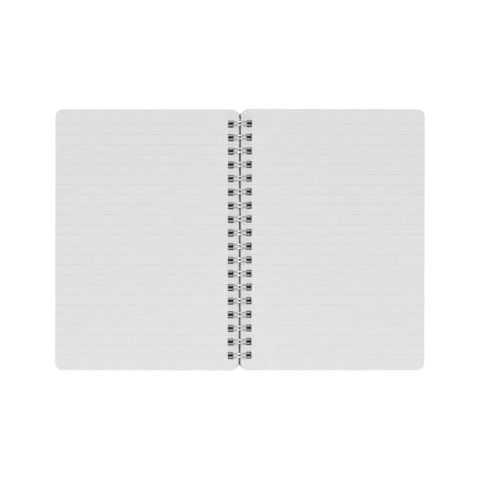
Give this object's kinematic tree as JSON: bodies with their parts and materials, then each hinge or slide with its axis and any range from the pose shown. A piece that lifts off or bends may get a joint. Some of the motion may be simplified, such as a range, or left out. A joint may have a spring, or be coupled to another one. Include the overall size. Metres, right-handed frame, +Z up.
{
  "type": "open spiral notebook",
  "caption": "Twin-loop wire-bound notebook lying open and flat, with ruled pages on both sides of the ring spine and a plain board cover under each.",
  "frame": {"origin": "on the table, straight under the axis of the wire rings, at the middle of the spine", "axes": "+X across the spine to the right page's outer edge, +Y along the spine to the top of the pages, +Z up"},
  "size_m": [0.2576, 0.1824, 0.0152],
  "materials": {
    "wire": "bright plated wire",
    "cover_board": "uncoated olive-brown board",
    "paper": "uncoated white paper with fine grey rules"
  },
  "bodies": {
    "binding": {"wire_binding": "wire"},
    "front_cover": {"front_cover": "cover_board"},
    "left_pages": {"left_pages": "paper"},
    "back_cover": {"back_cover": "cover_board"},
    "right_pages": {"right_pages": "paper"}
  },
  "joints": [
    {"name": "front_cover_turn", "type": "hinge", "parent": "binding", "child": "front_cover", "pos_m": [0, 0, 0.00741], "axis": [0, 1, 0], "range_deg": [0, 180]},
    {"name": "left_pages_turn", "type": "hinge", "parent": "front_cover", "child": "left_pages", "pos_m": [0, 0, 0.00741], "axis": [0, 1, 0], "range_deg": [0, 180]},
    {"name": "back_cover_turn", "type": "hinge", "parent": "binding", "child": "back_cover", "pos_m": [0, 0, 0.00741], "axis": [0, -1, 0], "range_deg": [0, 180]},
    {"name": "right_pages_turn", "type": "hinge", "parent": "back_cover", "child": "right_pages", "pos_m": [0, 0, 0.00741], "axis": [0, -1, 0], "range_deg": [0, 180]}
  ]
}
